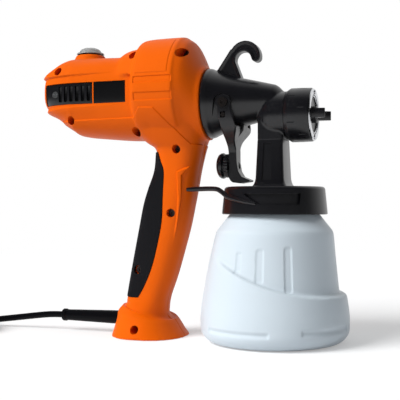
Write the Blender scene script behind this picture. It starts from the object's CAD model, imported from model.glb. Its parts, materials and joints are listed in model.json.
# %% [markdown]
# # Handheld paint sprayer
# The sprayer is an orange motor housing on a leaning handle, a black spray head that twists into the housing's
# mouth, and a milky bottle screwed under a black lid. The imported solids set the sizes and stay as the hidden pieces.
# This lesson models what is seen.

# %% Load the solids
import json
import math

import bmesh
import bpy
from mathutils import Matrix, Vector
from mathutils.bvhtree import BVHTree


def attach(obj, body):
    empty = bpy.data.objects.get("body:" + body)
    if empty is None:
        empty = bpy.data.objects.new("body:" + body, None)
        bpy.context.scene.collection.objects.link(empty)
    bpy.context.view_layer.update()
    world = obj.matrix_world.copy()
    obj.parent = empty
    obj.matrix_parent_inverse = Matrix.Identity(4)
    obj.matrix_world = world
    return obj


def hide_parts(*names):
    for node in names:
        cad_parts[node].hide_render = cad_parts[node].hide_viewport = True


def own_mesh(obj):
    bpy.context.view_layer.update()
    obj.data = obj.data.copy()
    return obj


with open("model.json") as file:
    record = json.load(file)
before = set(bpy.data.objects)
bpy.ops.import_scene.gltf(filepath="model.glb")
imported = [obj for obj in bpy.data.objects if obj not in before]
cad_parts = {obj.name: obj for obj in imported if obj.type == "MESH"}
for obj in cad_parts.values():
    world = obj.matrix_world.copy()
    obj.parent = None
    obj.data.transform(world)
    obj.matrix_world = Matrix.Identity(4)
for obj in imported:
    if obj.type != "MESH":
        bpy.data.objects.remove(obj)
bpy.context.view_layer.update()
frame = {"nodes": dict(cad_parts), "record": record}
nodes = frame["nodes"]
scene = bpy.context.scene
MM = 0.001
print("solids loaded:", len(nodes))


def add_object(name, data):
    thing = bpy.data.objects.new(name, data)
    scene.collection.objects.link(thing)
    return thing


# %% [markdown]
# ## The camera
# The picture was taken level, 19 degrees round to the front, from about three quarters of a metre away.
# A real lens could be turned by hand until it fits. Here the place and focal length come from measured points,
# and a small shift puts the horizon just under the middle of the frame.

# %% Camera
frame_pixels, focal_pixels, horizon_pixels = 400.0, 830.0, 5.0
view_turn = math.radians(19.0)
camera_data = bpy.data.cameras.new("picture_camera")
camera_data.sensor_width = 36.0
camera_data.lens = camera_data.sensor_width * focal_pixels / frame_pixels
camera_data.shift_y = horizon_pixels / frame_pixels
camera_data.clip_start = 0.01
camera = add_object("picture_camera", camera_data)
camera.location = (0.1749, -0.7087, 0.1191)
camera.rotation_euler = (math.pi / 2, 0.0, view_turn)
scene.camera = camera
scene.view_settings.view_transform = "Standard"
print("camera lens", round(camera_data.lens, 1), "mm")

# %% [markdown]
# ## Shared surface effects
# Moulded plastic is never one flat colour. Its tone drifts slowly over a part, and a fine spark-eroded grain from
# the mould breaks up the gloss. Both effects are used by many finishes, so each is a node group with named sockets.

# %% Node helpers
def effect_group(name, inputs, outputs):
    tree = bpy.data.node_groups.new(name, "ShaderNodeTree")
    for label, kind, value in inputs:
        tree.interface.new_socket(name=label, in_out="INPUT", socket_type="NodeSocket" + kind).default_value = value
    for label, kind in outputs:
        tree.interface.new_socket(name=label, in_out="OUTPUT", socket_type="NodeSocket" + kind)
    return tree, tree.nodes.new("NodeGroupInput"), tree.nodes.new("NodeGroupOutput")


def feed(tree, socket, value):
    if isinstance(value, bpy.types.NodeSocket):
        tree.links.new(value, socket)
    else:
        socket.default_value = value


def feed_all(tree, node, sockets):
    for label, value in sockets.items():
        feed(tree, node.inputs[label.replace("_", " ")], value)


def add_node(tree, kind, settings=(), **sockets):
    node = tree.nodes.new("ShaderNode" + kind)
    for label, value in dict(settings).items():
        setattr(node, label, value)
    feed_all(tree, node, sockets)
    return node


def math_node(tree, operation, *values):
    node = add_node(tree, "Math", {"operation": operation})
    for socket, value in zip(node.inputs, values):
        feed(tree, socket, value)
    return node.outputs[0]


def swing_about(tree, noise, amount, middle):
    swing = math_node(tree, "SUBTRACT", noise.outputs["Fac"], 0.5)
    return math_node(tree, "ADD", math_node(tree, "MULTIPLY", swing, amount), middle)


# %% Tone drift
tone_drift, drift_in, drift_out = effect_group(
    "tone_drift",
    [("Colour", "Color", (0.5, 0.5, 0.5, 1.0)), ("Scale", "Float", 20.0), ("Amount", "Float", 0.1)],
    [("Colour", "Color")],
)
drift_place = add_node(tone_drift, "TexCoord").outputs["Object"]
drift_noise = add_node(tone_drift, "TexNoise", Vector=drift_place, Scale=drift_in.outputs["Scale"], Detail=3.0)
drift_shade = add_node(tone_drift, "HueSaturation", Color=drift_in.outputs["Colour"],
                       Value=swing_about(tone_drift, drift_noise, drift_in.outputs["Amount"], 1.0))
feed(tone_drift, drift_out.inputs["Colour"], drift_shade.outputs["Color"])
print("effect:", tone_drift.name)

# %% Mould grain
mould_grain, grain_in, grain_out = effect_group(
    "mould_grain",
    [("Scale", "Float", 900.0), ("Rough", "Float", 0.4), ("Swing", "Float", 0.1)],
    [("Height", "Float"), ("Rough", "Float")],
)
grain_place = add_node(mould_grain, "TexCoord").outputs["Object"]
grain_noise = add_node(mould_grain, "TexNoise", Vector=grain_place, Scale=grain_in.outputs["Scale"], Detail=2.0)
grain_patches = add_node(mould_grain, "TexNoise", Vector=grain_place, Scale=40.0)
grain_rough = swing_about(mould_grain, grain_patches, grain_in.outputs["Swing"], grain_in.outputs["Rough"])
feed(mould_grain, grain_out.inputs["Height"], grain_noise.outputs["Fac"])
feed(mould_grain, grain_out.inputs["Rough"], grain_rough)
print("effect:", mould_grain.name)


# %% [markdown]
# ## Finishes
# Each finish is one Principled shader. Tone drift feeds its colour, and mould grain feeds its roughness and a small
# bump. What stays the same all over, such as metal or gloss, is set on the shader itself.

# %% Finish maker
bump_distance = 0.0006


def finish(name, colour, rough, drift=0.1, drift_scale=25.0, grain=900.0, depth=0.02, swing=0.08, **sockets):
    material = bpy.data.materials.new(name)
    material.use_nodes = True
    tree = material.node_tree
    tone = add_node(tree, "Group", {"node_tree": tone_drift}, Colour=(*colour, 1.0), Scale=drift_scale, Amount=drift)
    skin = add_node(tree, "Group", {"node_tree": mould_grain}, Scale=grain, Rough=rough, Swing=swing)
    bump = add_node(tree, "Bump", Strength=depth, Distance=bump_distance, Height=skin.outputs["Height"])
    feed_all(tree, tree.nodes["Principled BSDF"],
             dict(sockets, Base_Color=tone.outputs["Colour"], Roughness=skin.outputs["Rough"],
                  Normal=bump.outputs["Normal"]))
    return material


# %% Plastics, rubber and foam
# Slot of the solids, colour, roughness and what differs from a plain moulding
soft_finishes = [
    ("orange_shell", (0.705, 0.103, 0.0012), 0.44, dict(drift=0.06, grain=1500, depth=0.05, Specular_IOR_Level=0.1)),
    ("black_plastic", (0.006, 0.006, 0.0075), 0.3, dict(drift=0.2, grain=1200, depth=0.04, Specular_IOR_Level=0.52)),
    ("soft_grip", (0.005, 0.005, 0.0065), 0.62, dict(drift=0.25, grain=700, depth=0.25, Specular_IOR_Level=0.22)),
    ("label_black", (0.004, 0.004, 0.0045), 0.3, dict(depth=0.01, Specular_IOR_Level=0.25)),
    ("cord_black", (0.003, 0.003, 0.004), 0.42, dict(drift=0.2, grain=500, depth=0.1, Specular_IOR_Level=0.09)),
    ("milky_bottle", (0.54, 0.612, 0.662), 0.36, dict(drift=0.04, drift_scale=12, grain=500, Specular_IOR_Level=0.3)),
    ("clear_boot", (0.50, 0.50, 0.49), 0.14, dict(drift=0.05, depth=0.01, Transmission_Weight=0.5)),
    ("grey_plastic", (0.16, 0.165, 0.17), 0.45, dict(drift=0.15)),
    ("fan_nylon", (0.62, 0.62, 0.58), 0.45, {}),
    ("red_plastic", (0.45, 0.02, 0.015), 0.3, {}),
    ("tube_plastic", (0.72, 0.72, 0.69), 0.3, dict(drift=0.08)),
    ("phenolic", (0.10, 0.045, 0.02), 0.5, dict(drift=0.3, drift_scale=120)),
    ("carbon", (0.02, 0.02, 0.02), 0.6, dict(drift=0.3)),
    ("seal_rubber", (0.02, 0.02, 0.022), 0.55, dict(drift=0.2)),
    ("pale_gasket", (0.58, 0.60, 0.61), 0.5, {}),
    ("filter_foam", (0.03, 0.03, 0.032), 0.9, dict(drift=0.6, drift_scale=600, grain=600, depth=0.8)),
]
finish_of_slot = {slot: finish(slot, colour, rough, **extra) for slot, colour, rough, extra in soft_finishes}
print("soft finishes:", len(finish_of_slot))

# %% Metals
# Slot, colour, roughness, drift and its scale, grain and its depth. The dark steel has no slot of its own
metal_finishes = [
    ("black_steel", (0.06, 0.052, 0.05), 0.36, 0.2, 200, 900, 0.05),
    ("steel", (0.55, 0.56, 0.58), 0.28, 0.15, 200, 2500, 0.05),
    ("bright_alloy", (0.60, 0.61, 0.63), 0.25, 0.1, 120, 900, 0.03),
    ("brass", (0.70, 0.50, 0.19), 0.3, 0.2, 90, 900, 0.03),
    ("copper", (0.62, 0.26, 0.12), 0.35, 0.3, 150, 900, 0.1),
    ("laminations", (0.20, 0.20, 0.21), 0.45, 0.3, 300, 900, 0.1),
]
for name, *values in metal_finishes:
    finish_of_slot[name] = finish(name, *values, Metallic=1.0)
dark_nodes = ("case_screws", "pivot_screws", "cross_pin")
slot_of_node = {part["node"]: part["material_slot"] for part in frame["record"]["subparts"]}
for node_name, solid in nodes.items():
    solid.data.materials.clear()
    solid.data.materials.append(finish_of_slot["black_steel" if node_name in dark_nodes else slot_of_node[node_name]])
print("finishes:", len(finish_of_slot))

# %% [markdown]
# ## Handling pieces
# Pieces are modelled in millimetres and come down to metres when they are placed. Each one is hung on the body it
# moves with and named for the solid that it stands for. Edges sharper than a set angle stay crisp.

# %% Piece helpers
body_of_node = {n: body for body, members in frame["record"]["behaviour"]["bodies"].items() for n in members}
same_point = 1e-4


def to_mesh(bm):
    bmesh.ops.remove_doubles(bm, verts=bm.verts, dist=same_point)
    bmesh.ops.recalc_face_normals(bm, faces=bm.faces)
    mesh = bpy.data.meshes.new("form")
    bm.to_mesh(mesh)
    bm.free()
    return mesh


def as_mesh(form):
    return form if isinstance(form, bpy.types.Mesh) else to_mesh(form)


def to_bmesh(mesh):
    bm = bmesh.new()
    bm.from_mesh(mesh)
    return bm


def place_piece(name, form, stands_for, sharp=35.0):
    mesh = as_mesh(form)
    mesh.name = name
    mesh.transform(Matrix.Diagonal((MM, MM, MM, 1.0)))
    mesh.polygons.foreach_set("use_smooth", [True] * len(mesh.polygons))
    mesh.set_sharp_from_angle(angle=math.radians(sharp))
    piece = add_object(name, mesh)
    slot = slot_of_node[stands_for[0]]
    mesh.materials.clear()
    mesh.materials.append(finish_of_slot[slot])
    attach(piece, body_of_node[stands_for[0]])
    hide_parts(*stands_for)
    print(name, "has", len(mesh.polygons), "faces")
    return piece


# %% [markdown]
# Three tools do most of the shaping. A modifier stack can be run once and kept as a mesh. A boolean cuts or joins
# closed forms. Voxel remeshing melts overlapping forms into one skin, and a few smoothing passes then round every
# corner a little, which is how a moulding looks.

# %% Shaping helpers
def modified(mesh, *steps):
    work = add_object("work", mesh)
    for kind, settings in steps:
        step = work.modifiers.new(kind, kind)
        for label, value in settings.items():
            setattr(step, label, value)
    result = bpy.data.meshes.new_from_object(work.evaluated_get(bpy.context.evaluated_depsgraph_get()))
    bpy.data.objects.remove(work)
    return result


def combined(form, tools, operation):
    mesh = as_mesh(form)
    for tool in tools:
        tool_object = add_object("tool", as_mesh(tool))
        mesh = modified(mesh, ("BOOLEAN", {"operation": operation, "object": tool_object, "solver": "MANIFOLD"}))
        bpy.data.objects.remove(tool_object)
    return mesh


def cut(form, *tools):
    return combined(form, tools, "DIFFERENCE")


def joined(form, *tools):
    return combined(form, tools, "UNION")


def moulded(bm, voxel, passes):
    return modified(to_mesh(bm), ("REMESH", {"mode": "VOXEL", "voxel_size": voxel}),
                    ("SMOOTH", {"factor": 0.5, "iterations": passes}))


def mirrored(mesh):
    twin = mesh.copy()
    twin.transform(Matrix.Diagonal((1.0, -1.0, 1.0, 1.0)))
    twin.flip_normals()
    return twin


# %% [markdown]
# Most forms start as a ring of points that is pushed along and reshaped, or as a profile that is spun on an axis.

# %% Curves and rings
X_AXIS, Y_AXIS, Z_AXIS = Vector((1, 0, 0)), Vector((0, 1, 0)), Vector((0, 0, 1))
SIDES = (-1, 1)


def clamp(value):
    return min(max(value, 0.0), 1.0)


def ease(value):
    value = clamp(value)
    return value * value * (3 - 2 * value)


def turns(count):
    return [2 * math.pi * k / count for k in range(count)]


def arc(centre, r, first, last, step):
    angles = [math.radians(d) for d in range(first, last + 1, step)]
    return [(centre[0] + r * math.cos(a), centre[1] + r * math.sin(a)) for a in angles]


def smooth_route(points, steps):
    out = []
    last = len(points) - 1
    for i in range(last):
        a, b, c, d = points[max(i - 1, 0)], points[i], points[i + 1], points[min(i + 2, last)]
        for t in (s / steps for s in range(steps)):
            bend = (2 * a - 5 * b + 4 * c - d) * (t * t / 2) + (3 * b - a - 3 * c + d) * (t ** 3 / 2)
            out.append(b + (c - a) * (t / 2) + bend)
    return out + [points[last]]


def smooth_rows(rows, steps):
    return smooth_route([Vector(row) for row in rows], steps)


def rounded_square(z, half_x, half_y, round_r, x=-0.9, y=0.0):
    ring = []
    for quarter, (sx, sy) in enumerate([(1, 1), (-1, 1), (-1, -1), (1, -1)]):
        ring += [Vector((*p, z)) for p in arc((x + sx * (half_x - round_r), y + sy * (half_y - round_r)), round_r,
                                              90 * quarter, 90 * quarter + 90, 15)]
    return ring


# %% Closed forms
def only_verts(geom):
    return [v for v in geom if isinstance(v, bmesh.types.BMVert)]


def thicken(bm, faces, vec):
    pushed = only_verts(bmesh.ops.extrude_face_region(bm, geom=faces)["geom"])
    bmesh.ops.translate(bm, vec=vec, verts=pushed)


def bevelled(bm, edges, offset, segments=2):
    bmesh.ops.bevel(bm, geom=edges, offset=offset, offset_type="OFFSET", affect="EDGES", segments=segments,
                    profile=0.5, material=-1, clamp_overlap=True)


def corner_edges(bm, angle=50):
    return [e for e in bm.edges if len(e.link_faces) == 2 and e.calc_face_angle() > math.radians(angle)]


def skin_over(rings, bm=None):
    bm = bm or bmesh.new()
    count = len(rings[0])
    rim = bmesh.ops.create_circle(bm, cap_ends=True, segments=count, radius=1.0)["verts"]
    for vert, point in zip(rim, rings[0]):
        vert.co = point
    for ring in rings[1:]:
        edges = [bm.edges.get((rim[k - 1], rim[k])) for k in range(count)]
        pushed = set(only_verts(bmesh.ops.extrude_edge_only(bm, edges=edges)["geom"]))
        rim = [next(e.other_vert(v) for e in v.link_edges if e.other_vert(v) in pushed) for v in rim]
        for vert, point in zip(rim, ring):
            vert.co = point
    bmesh.ops.edgeloop_fill(bm, edges=[bm.edges.get((rim[k - 1], rim[k])) for k in range(count)])
    return bm


def spun(profile, axis, centre, steps=96, bm=None):
    bm = bm or bmesh.new()
    side = Z_AXIS if axis.z == 0 else X_AXIS
    verts = [bm.verts.new(Vector(centre) + axis * along + side * r) for r, along in profile]
    edges = [bm.edges.new(pair) for pair in zip(verts, verts[1:])]
    bmesh.ops.spin(bm, geom=verts + edges, cent=centre, axis=axis, angle=2 * math.pi, steps=steps, use_merge=True)
    bmesh.ops.remove_doubles(bm, verts=bm.verts, dist=same_point)
    return bm


def spun_x(profile, z, steps=96, bm=None):
    return spun(profile, X_AXIS, (0, 0, z), steps, bm)


def spun_z(profile, x=0, steps=96, bm=None):
    return spun(profile, Z_AXIS, (x, 0, 0), steps, bm)


def rod(start, end, r, steps=48, bm=None):
    bm = bm or bmesh.new()
    start, end = Vector(start), Vector(end)
    turn = (end - start).to_track_quat("Z", "Y").to_matrix().to_4x4()
    place = Matrix.Translation((start + end) / 2) @ turn
    bmesh.ops.create_cone(bm, cap_ends=True, segments=steps, radius1=r, radius2=r, depth=(end - start).length,
                          matrix=place)
    return bm


def rod_x(x0, x1, z, r, steps=48, bm=None):
    return rod((x0, 0, z), (x1, 0, z), r, steps, bm)


def rod_y(x, z, y0, y1, r, steps=48, bm=None):
    return rod((x, y0, z), (x, y1, z), r, steps, bm)


def rod_z(x, z0, z1, r, steps=48, bm=None):
    return rod((x, 0, z0), (x, 0, z1), r, steps, bm)


def block(low, high, bevel=0.0, bm=None):
    bm = bm or bmesh.new()
    low, high = Vector(low), Vector(high)
    place = Matrix.Translation((low + high) / 2) @ Matrix.Diagonal((*(high - low), 1.0))
    verts = bmesh.ops.create_cube(bm, size=1.0, matrix=place)["verts"]
    if bevel:
        bevelled(bm, list({e for v in verts for e in v.link_edges}), bevel)
    return bm


def side_cut(outline, y0, y1, bm=None):
    bm = bm or bmesh.new()
    thicken(bm, [bm.faces.new([bm.verts.new((x, y0, z)) for x, z in outline])], (0, y1 - y0, 0))
    return bm


def tube(path, radii, sides):
    rings = []
    for i, p in enumerate(path):
        ahead = (path[min(i + 1, len(path) - 1)] - path[max(i - 1, 0)]).normalized()
        side = ahead.cross(Z_AXIS).normalized()
        up = side.cross(ahead)
        rings.append([p + (up * math.cos(a) + side * math.sin(a)) * radii[i] for a in turns(sides)])
    return skin_over(rings)


# %% [markdown]
# ## The power cord
# A mains lead is a fixed length of round sheath. It leaves the strain relief straight, sinks to the floor and would
# run on for nearly two metres. The spare length is wound in a tied coil just outside the picture, as for storage.
# A swept mesh would do, but one smooth curve with a round section carries the whole route more simply.

# %% Cord route
cord_r, relief_end_x, floor_layer_z = 3.0, -206.8, 4.3
# Way back from the strain relief, and height
free_stretch = [(0, 14.4), (6, 14.4), (15, 14), (26, 12.8), (38, 11.2), (50, 9.6), (62, 8), (74, 6.4), (86, 5),
                (96, floor_layer_z), (103, floor_layer_z)]
coil_x = relief_end_x - 109.0
coil_pitch, coil_turns, coil_inner_r, coil_points = 6.6, 3.5, 24.5, 24
coil_y = -(coil_inner_r + coil_turns * coil_pitch)
# Way back from the coil's middle, then Y and Z
tail = [(6, 0, 10.9), (13, 0, 10.9), (25, -1.4, 9.8), (36, -4.6, 7.6), (46, -10, 5.4), (54, -18, 4.4),
        (59.5, -28, 4.8), (62, -38, 6.2), (62.5, -46, 7), (62.5, -52, 7)]


def coil_point(turn):
    r = coil_inner_r + coil_pitch * abs(coil_turns - turn)
    a = math.radians(90.0 + 360.0 * turn)
    rise = coil_pitch * ease((turn - coil_turns + 0.25) / 0.5)
    return Vector((coil_x + r * math.cos(a), coil_y + r * math.sin(a), floor_layer_z + rise))


route = [Vector((relief_end_x - back, 0.0, z)) for back, z in free_stretch]
route += [coil_point(k / coil_points) for k in range(int(2 * coil_turns * coil_points) + 1)]
route += [Vector((coil_x - back, y, z)) for back, y, z in tail]
route = [p * MM for p in smooth_route(route, 2)]
print("route of", len(route), "points")

# %% Cord curve
cord_curve = bpy.data.curves.new("power_lead", "CURVE")
cord_curve.dimensions = "3D"
cord_curve.bevel_depth = cord_r * MM
cord_curve.bevel_resolution = 4
cord_curve.use_fill_caps = True
spline = cord_curve.splines.new("POLY")
spline.points.add(len(route) - 1)
for knot, p in zip(spline.points, route):
    knot.co = (*p, 1.0)
spline.use_smooth = True
lead = add_object("power_lead", cord_curve)
cord_curve.materials.append(finish_of_slot["cord_black"])
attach(lead, "gun_body")
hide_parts("power_cord", "cord_coil", "plug_lead")
lead_length = sum((b - a).length for a, b in zip(route, route[1:]))
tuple(route[0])
print("lead", round(lead_length, 3), "m")


# %% [markdown]
# ## The orange housing
# The real housing is two moulded halves that meet on the middle plane: a motor housing, a fan drum with a dome, a
# shoulder between them, and a leg that is handle and foot in one. Each form is a skin over rings. They could be
# joined by booleans, but the joints would be knife sharp, so they are melted into one skin with soft corners.

# %% Main sizes in millimetres
mouth_x, drum_front, drum_back, rear_x = -60.0, -82.0, -121.0, -216.0
flange_z, motor_z, nozzle_z = 210.0, 223.0, 197.0
rear_len, rear_half_w, rear_top, rear_low, rear_power = 95.0, 38.0, 37.0, 44.0, 2 / 2.8
drum_r, mouth_r = 47.45, 32.5
handle_top_x, handle_top_z, handle_lean, handle_depth, handle_w = -86.2, 168.0, 31.0, 45.6, 39.0
foot_x, foot_len, foot_w, foot_h = -116.9, 69.1, 76.0, 34.0
switch_x, switch_r, switch_top_z, collar_z = -178.5, 9.4, 263.46, 259.9
# A cut that ends this far from the middle plane is clear of every piece
CLEAR = 90.0


def signed_power(value, power):
    return math.copysign(abs(value) ** power, value)


def oval_ring(x, z, half_w, top, low, power, count=112):
    corners = [(signed_power(math.cos(a), power), signed_power(math.sin(a), power)) for a in turns(count)]
    return [Vector((x, half_w * c, z + (top if s > 0 else low) * s)) for c, s in corners]


# %% Rows of the motor housing, drum and shoulder
# Share of the length, then shares of the low, top and side sizes
rear_rows = [
    (0, 0.25, 0.31, 0.50), (0.03, 0.40, 0.51, 0.67), (0.085, 0.49, 0.635, 0.80), (0.17, 0.622, 0.79, 0.90),
    (0.27, 0.765, 0.872, 0.965), (0.335, 0.855, 0.876, 0.985), (0.38, 0.902, 0.874, 1.0), (0.63, 0.96, 0.866, 1.0),
    (0.84, 1.0, 0.85, 1.0), (1.10, 1.02, 0.85, 1.0),
]
# Way forward from the drum's back, and how far the radius falls short
drum_edge = [(1.2, 7), (2, 3.7), (4, 1.4), (9, 0.5), (19.5, 0.1), (drum_front - drum_back, 0)]
# Shares of the dome's length, drop and narrowing
dome_shares = [(0.1, -0.02, 0.07), (0.2, -0.03, 0.16), (0.37, 0.0, 0.31), (0.5, 0.17, 0.46), (0.62, 0.42, 0.62),
               (0.74, 0.7, 0.78), (0.86, 0.93, 0.92), (1, 1.04, 1)]
dome_len, dome_drop, dome_in = mouth_x - drum_front, motor_z - flange_z, drum_r - mouth_r
# Place along X, height of the middle and radius
drum_rows = [(drum_back + ahead, motor_z, drum_r - less) for ahead, less in drum_edge]
drum_rows += [(drum_front + x * dome_len, motor_z - drop * dome_drop, drum_r - inward * dome_in)
              for x, drop, inward in dome_shares]
shoulder_rows = [(drum_back - back, motor_z, drum_r - less)
                 for back, less in [(25, 20), (20, 15.6), (15, 12), (10, 9.9), (5, 8.9), (-4, 7.5)]]
ridge_z, shoulder_wide, shoulder_power = motor_z + 11, 1.07, 2 / 2.3

# %% Rows of the leg
# Share of the handle's height, then shares of the lean, depth and width
handle_shares = [
    (0, 1.035, 0.82, 1.03), (0.15, 0.865, 0.905, 1), (0.32, 0.685, 0.96, 1), (0.49, 0.51, 1.0, 1),
    (0.634, 0.38, 1.005, 1), (0.74, 0.262, 0.97, 1), (0.865, 0.115, 0.895, 1.015), (1, 0.03, 0.92, 1.1),
]
# Shares of the foot's height at the back and front, then how far it has drawn in, and a share of its width
foot_shares = [
    (0, 0, 0, 0, 1), (0.26, 0.155, 2.8, 4.6, 0.93), (0.53, 0.30, 5.4, 8.4, 0.84), (0.68, 0.43, 6.6, 12.0, 0.77),
    (0.83, 0.585, 11.2, 17.8, 0.61),
]
# Rise above the handle, reach to the back and front, and half width
collar_rises = [(7, 30, 22.2, 25), (15, 40, 24.6, 29.5), (23, 50, 25.8, 33)]
leg_power, foot_power = 2 / 2.8, 2 / 2.2


def handle_row(share, lean, depth, width):
    z = foot_h + share * (handle_top_z - foot_h)
    middle, reach = handle_top_x - handle_lean * lean, handle_depth / 2 * depth
    return (z, z, middle - reach, middle + reach, width * handle_w / 2, leg_power)


leg_rows = [(back * foot_h, front * foot_h, foot_x - foot_len / 2 + drawn_back, foot_x + foot_len / 2 - drawn_front,
             width * foot_w / 2, foot_power) for back, front, drawn_back, drawn_front, width in foot_shares]
leg_rows += [handle_row(*row) for row in handle_shares]
leg_rows += [(handle_top_z + rise, handle_top_z + rise, handle_top_x - back, handle_top_x + front, half, leg_power)
             for rise, back, front, half in collar_rises]


def leg_point(row, a, out=0.0):
    back_z, front_z, back_x, front_x, half, power = row
    c, s = signed_power(math.cos(a), power), signed_power(math.sin(a), power)
    middle, reach = (back_x + front_x) / 2, (front_x - back_x) / 2
    return Vector((middle + (reach + out) * c, (half + out) * s, back_z + (front_z - back_z) * (c + 1) / 2))


# %% Melt the forms into one skin
def sliced(bm, point, normal, clear_outer=True):
    return bmesh.ops.bisect_plane(bm, geom=bm.verts[:] + bm.edges[:] + bm.faces[:], plane_co=point, plane_no=normal,
                                  clear_outer=clear_outer)["geom_cut"]


housing = skin_over([oval_ring(rear_x + share * rear_len, motor_z, side * rear_half_w, top * rear_top, low * rear_low,
                               rear_power, 96) for share, low, top, side in smooth_rows(rear_rows, 6)])
skin_over([oval_ring(x, z, r, r, r, 1.0) for x, z, r in smooth_rows(drum_rows, 4)], housing)
skin_over([[leg_point(row, a) for a in turns(80)] for row in smooth_rows(leg_rows, 6)], housing)
shoulder = skin_over([oval_ring(x, z, shoulder_wide * r, r, r, shoulder_power)
                      for x, z, r in smooth_rows(shoulder_rows, 3)])
ridge = sliced(shoulder, (0, -rear_half_w, ridge_z), (0, 0, -1))
bmesh.ops.edgeloop_fill(shoulder, edges=[e for e in ridge if isinstance(e, bmesh.types.BMEdge)])
housing.from_mesh(to_mesh(shoulder))
collar_base_z, collar_foot_r, collar_r, collar_round = motor_z + rear_top - 12, switch_r + 9, switch_r + 4.2, 0.8
spun_z([(0, collar_base_z), (collar_foot_r, collar_base_z), (collar_r, collar_z - collar_round),
        (collar_r - collar_round, collar_z), (0, collar_z)], switch_x, bm=housing)
housing_skin = moulded(housing, voxel=1.0, passes=5)
print("housing skin:", len(housing_skin.polygons), "faces")

# %% [markdown]
# The halves mirror each other, so only the right one is detailed. It is cut on the middle plane, and a second cut just
# beside it lets the rim be drawn in a little: together the two rims make the fine parting line of the real moulding.

# %% Right half with a parting line
parting_gap, parting_w, parting_depth = 0.05, 0.6, 0.35
half = to_bmesh(housing_skin)
sliced(half, (0, -parting_gap, 0), Y_AXIS)
sliced(half, (0, -parting_gap - parting_w, 0), Y_AXIS, clear_outer=False)
half.normal_update()
rim_verts = {v for e in half.edges if e.is_boundary for v in e.verts}
for v in rim_verts:
    v.co -= Vector((v.normal.x, 0, v.normal.z)).normalized() * parting_depth
print("right half:", len(half.faces), "faces, rim of", len(rim_verts))

# %% [markdown]
# The flank carries crisp details: a raised panel, lips above and below the vents, channels and a panel on the drum, a
# kinked rib on the handle and an edge round the foot. Each is scored first, which cuts clean edges into the skin along
# its outline, and then the points inside the outline are pushed out or in.

# %% Scoring
flank_y = -4.0


def score(bm, point, normal, near):
    faces = [f for f in bm.faces if near(f.calc_center_median())]
    edges = list({e for f in faces for e in f.edges})
    verts = list({v for f in faces for v in f.verts})
    bmesh.ops.bisect_plane(bm, geom=verts + edges + faces, dist=0.02, plane_co=point, plane_no=normal)


def score_line(line, offset=0.0, reach=4.0, near_y=flank_y):
    for a, b in zip(line, line[1:]):
        along = (Vector(b) - Vector(a)).normalized()
        across = Vector((-along.y, along.x))
        start, end = Vector(a) + across * offset, Vector(b) + across * offset
        low = [min(start[i], end[i]) - reach for i in (0, 1)]
        high = [max(start[i], end[i]) + reach for i in (0, 1)]
        score(half, (start.x, 0, start.y), (across.x, 0, across.y),
              lambda c: c.y < near_y and low[0] < c.x < high[0] and low[1] < c.z < high[1])


# %% Pushing
def line_gap(point, line):
    best = None
    for a, b in zip(line, line[1:]):
        along, rel = Vector(b) - Vector(a), point - Vector(a)
        gap = (rel - along * clamp(rel.dot(along) / along.length_squared)).length
        if best is None or gap < abs(best):
            best = math.copysign(gap, along.x * rel.y - along.y * rel.x)
    return best


def push_points(bm, step):
    bm.normal_update()
    moves = [(v, step(v)) for v in bm.verts]
    for v, move in moves:
        if move is not None:
            v.co += move


def push_flank(amount):
    push_points(half, lambda v: v.normal * amount(Vector((v.co.x, v.co.z)))
                if v.co.y < flank_y and v.normal.y < 0 else None)


def soften(bm, verts, passes):
    for k in range(passes):
        bmesh.ops.smooth_vert(bm, verts=verts, factor=0.5, use_axis_x=True, use_axis_y=True, use_axis_z=True)
    print("softened", len(verts), "points")


# %% Foot of the shoulder and raised lower panel
# First and last X, then lowest and highest Z
step_zone, panel_zone, rib_zone = (-152, -122, 228, 242), (-194, -58, 150, 207), (-91, -70, 81, 156)
step_y = -28


def within(zone, x, z):
    return zone[0] < x < zone[1] and zone[2] < z < zone[3]


soften(half, [v for v in half.verts if within(step_zone, v.co.x, v.co.z) and v.co.y < step_y], 16)
panel_edge = [(-192, 196.2), (-117.5, 197), (-111, 205), (-97.6, 204.3), (-71, 173.5), (-58, 173)]
panel_rise, panel_slope, panel_fade = 1.0, 0.7, 26.0
for offset in (0.0, -panel_slope):
    score_line(panel_edge, offset)


def panel_push(p):
    if not within(panel_zone, *p):
        return 0.0
    below = -line_gap(p, panel_edge)
    return panel_rise * clamp(below / panel_slope) * (1 - ease(below / panel_fade))


push_flank(panel_push)
print("raised panel done")

# %% Lips above and below the vents
# Line, rise at its rear end, and reach above and below it
lips = [
    ([(-219, 235.2), (-189, 236.2), (-134, 237.9)], 2.7, 13.0, 0.9),
    ([(-219, 206.6), (-189, 207.2), (-130, 208.2)], 2.5, 1.4, 9.0),
]
lip_score, lip_over = 2.0, 2.0
for line, rise, up, down in lips:
    for offset in (0.0, min(up, lip_score), -min(down, lip_score)):
        score_line(line, offset)
    rear_end, front_end = line[0][0], line[-1][0]

    def lip_push(p):
        if not rear_end - lip_over < p.x < front_end:
            return 0.0
        gap = line_gap(p, line)
        height = rise * (front_end - p.x) / (front_end - rear_end)
        return height * (1 - ease(gap / up if gap > 0 else -gap / down))

    push_flank(lip_push)
print("lips done")

# %% Channels and panel on the drum
# First and last X, lowest and highest angle round the drum, then rise and slope
drum_panels = [(-115.5, -79.5, 2.2, 9.8, -0.8, 0.6), (-115.5, -79.5, -16.4, -7.2, -0.8, 0.6),
               (-114.5, -83.5, 12.5, 62.0, 0.5, 0.8)]
near_x, near_angle = 3.0, 5.0


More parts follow.
